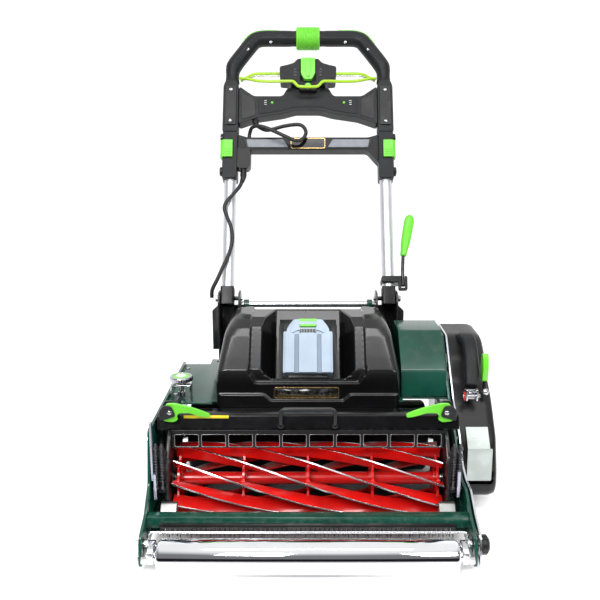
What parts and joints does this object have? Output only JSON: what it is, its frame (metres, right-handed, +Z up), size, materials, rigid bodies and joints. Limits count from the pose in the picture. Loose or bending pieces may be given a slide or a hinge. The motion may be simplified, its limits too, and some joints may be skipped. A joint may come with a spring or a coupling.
{
  "type": "reel mower",
  "caption": "Walk-behind cordless reel mower with a lift-out cutting cassette, front and rear rollers, battery hood and folding handle.",
  "frame": {"origin": "bottom centre of the whole mower's box, on the ground", "axes": "+Z up; the front roller is towards -Y and the handle towards +Y; +X is the transmission side"},
  "size_m": [0.687, 0.9058, 1.0046],
  "materials": {
    "green_paint": "dark green gloss paint",
    "steel_plate": "zinc-plated steel",
    "chrome_plate": "chrome",
    "roller_chrome": "bright chrome on an alloy roller",
    "roller_rubber": "black moulded drive covering",
    "red_paint": "red gloss paint with ground edges",
    "black_metal": "black satin powder coat",
    "gloss_black": "gloss black moulding",
    "black_plastic": "black textured moulding",
    "charcoal_grip": "charcoal soft-touch",
    "lime_plastic": "lime green moulding",
    "lime_wire": "lime coated wire",
    "aluminium_tube": "satin anodised",
    "cast_alloy": "cast alloy",
    "battery_case": "light blue-grey moulding",
    "bristle": "black bristle",
    "cable_rubber": "black rubber sheath"
  },
  "bodies": {
    "chassis": {"side_plate_left": "green_paint", "side_plate_right": "green_paint", "guard_plate_right": "steel_plate", "front_crossbar": "green_paint", "roller_brush": "bristle", "deck_plate": "green_paint", "transmission_cover": "black_plastic", "grab_handle": "charcoal_grip", "motor_hood": "gloss_black", "battery_dock": "black_plastic", "gear_cover": "green_paint", "drive_motor": "cast_alloy", "reel_motor": "cast_alloy", "knob_bracket": "steel_plate", "handle_bracket_left": "black_metal", "handle_bracket_right": "black_metal", "cross_rod": "chrome_plate", "drive_chain": "steel_plate"},
    "height_frame": {"roller_bracket_left": "steel_plate", "roller_bracket_right": "steel_plate", "clamp_knob": "black_plastic", "scraper_rod": "chrome_plate"},
    "front_roller": {"front_roller": "roller_chrome"},
    "height_knob": {"height_knob": "steel_plate"},
    "rear_roller_left": {"rear_roller_left": "roller_rubber"},
    "rear_roller_right": {"rear_roller_right": "roller_rubber", "rear_axle": "steel_plate", "roller_sprocket": "steel_plate"},
    "motor_sprocket": {"motor_sprocket": "steel_plate"},
    "cassette": {"cassette_end_left": "black_metal", "cassette_end_right": "black_metal", "cassette_lid": "gloss_black", "bottom_blade": "steel_plate", "lift_handle": "black_metal"},
    "reel": {"reel": "red_paint"},
    "cam_lever_left": {"cam_lever_left": "lime_plastic"},
    "cam_lever_right": {"cam_lever_right": "lime_plastic"},
    "battery": {"battery": "battery_case"},
    "battery_release": {"battery_release": "lime_plastic"},
    "lower_handle": {"handle_leg_left": "aluminium_tube", "handle_leg_right": "aluminium_tube", "lower_crossbar": "black_plastic", "lever_collar": "black_plastic", "power_cable": "cable_rubber"},
    "latch_left": {"latch_left": "lime_plastic"},
    "latch_right": {"latch_right": "lime_plastic"},
    "upper_handle": {"handle_casing_left": "black_plastic", "handle_casing_right": "black_plastic", "grip_loop": "charcoal_grip", "centre_sleeve": "lime_plastic", "console": "charcoal_grip", "control_pod": "black_plastic", "console_cable": "cable_rubber"},
    "rear_bail": {"rear_bail": "lime_wire"},
    "front_bail": {"front_bail": "lime_wire"},
    "start_key": {"start_key": "lime_plastic"},
    "start_button": {"start_button": "lime_plastic"},
    "clutch_lever": {"clutch_arm": "black_metal", "clutch_grip": "lime_plastic"},
    "side_lever": {"side_lever": "lime_plastic"}
  },
  "joints": [
    {"name": "height_adjust", "type": "slide", "parent": "chassis", "child": "height_frame", "axis": [0, 0, 1], "range_m": [-0.008, 0.008]},
    {"name": "front_roller_spin", "type": "hinge", "parent": "height_frame", "child": "front_roller", "pos_m": [-0.0405, -0.4219, 0.031], "axis": [1, 0, 0], "continuous": true},
    {"name": "height_knob_turn", "type": "hinge", "parent": "chassis", "child": "height_knob", "pos_m": [-0.3025, -0.1099, 0.255], "axis": [0, 0, 1], "range_deg": [-180, 180]},
    {"name": "left_drum_spin", "type": "hinge", "parent": "chassis", "child": "rear_roller_left", "pos_m": [-0.0405, 0.0181, 0.078], "axis": [1, 0, 0], "continuous": true},
    {"name": "right_drum_spin", "type": "hinge", "parent": "chassis", "child": "rear_roller_right", "pos_m": [-0.0405, 0.0181, 0.078], "axis": [1, 0, 0], "continuous": true},
    {"name": "motor_sprocket_spin", "type": "hinge", "parent": "chassis", "child": "motor_sprocket", "pos_m": [-0.0405, -0.0169, 0.25], "axis": [1, 0, 0], "continuous": true},
    {"name": "cassette_lift", "type": "slide", "parent": "chassis", "child": "cassette", "axis": [0, 0, 1], "range_m": [0, 0.12]},
    {"name": "reel_spin", "type": "hinge", "parent": "cassette", "child": "reel", "pos_m": [-0.0405, -0.2349, 0.091], "axis": [1, 0, 0], "continuous": true},
    {"name": "left_cam_turn", "type": "hinge", "parent": "cassette", "child": "cam_lever_left", "pos_m": [-0.2985, -0.2719, 0.243], "axis": [0, 1, 0], "range_deg": [-70, 0]},
    {"name": "right_cam_turn", "type": "hinge", "parent": "cassette", "child": "cam_lever_right", "pos_m": [0.2175, -0.2719, 0.243], "axis": [0, 1, 0], "range_deg": [0, 70]},
    {"name": "battery_slide", "type": "slide", "parent": "chassis", "child": "battery", "axis": [0, 0.6481, 0.7615], "range_m": [0, 0.14]},
    {"name": "battery_release_press", "type": "slide", "parent": "battery", "child": "battery_release", "axis": [0, 0.7615, -0.6481], "range_m": [0, 0.003], "stiffness_N_per_m": 400},
    {"name": "handle_fold", "type": "hinge", "parent": "chassis", "child": "lower_handle", "pos_m": [-0.0405, 0.1258, 0.3708], "axis": [1, 0, 0], "range_deg": [0, 95], "deforming": ["power_cable"]},
    {"name": "upper_fold", "type": "hinge", "parent": "lower_handle", "child": "upper_handle", "pos_m": [-0.0405, 0.33052, 0.72923], "axis": [1, 0, 0], "range_deg": [-140, 0], "deforming": ["console_cable"]},
    {"name": "left_latch_open", "type": "hinge", "parent": "lower_handle", "child": "latch_left", "pos_m": [-0.2235, 0.11798, 0.4137], "axis": [0, 0.4424, 0.8968], "range_deg": [0, 80]},
    {"name": "right_latch_open", "type": "hinge", "parent": "lower_handle", "child": "latch_right", "pos_m": [0.1425, 0.11798, 0.4137], "axis": [0, 0.4424, 0.8968], "range_deg": [-80, 0]},
    {"name": "rear_bail_squeeze", "type": "hinge", "parent": "upper_handle", "child": "rear_bail", "pos_m": [-0.0405, 0.37402, 0.87391], "axis": [1, 0, 0], "range_deg": [-33, 0], "stiffness_Nm_per_rad": 0.8},
    {"name": "front_bail_squeeze", "type": "hinge", "parent": "upper_handle", "child": "front_bail", "pos_m": [-0.0405, 0.37402, 0.87391], "axis": [1, 0, 0], "range_deg": [-25, 0], "stiffness_Nm_per_rad": 0.8},
    {"name": "start_key_press", "type": "slide", "parent": "upper_handle", "child": "start_key", "axis": [0, 0.8968, -0.4424], "range_m": [0, 0.004], "stiffness_N_per_m": 500},
    {"name": "start_button_press", "type": "slide", "parent": "upper_handle", "child": "start_button", "axis": [0, 0.8968, -0.4424], "range_m": [0, 0.0035], "stiffness_N_per_m": 300},
    {"name": "clutch_lever_pull", "type": "hinge", "parent": "lower_handle", "child": "clutch_lever", "pos_m": [-0.0405, 0.12519, 0.40346], "axis": [1, 0, 0], "range_deg": [-40, 0]},
    {"name": "side_lever_throw", "type": "hinge", "parent": "chassis", "child": "side_lever", "pos_m": [0.3255, -0.1139, 0.226], "axis": [1, 0, 0], "range_deg": [-5, 55]}
  ],
  "couplings": [
    {"joint": "height_knob_turn", "follows": "height_adjust", "rad_per_m": 392.7},
    {"joint": "motor_sprocket_spin", "follows": "right_drum_spin", "ratio": 1.8333}
  ]
}
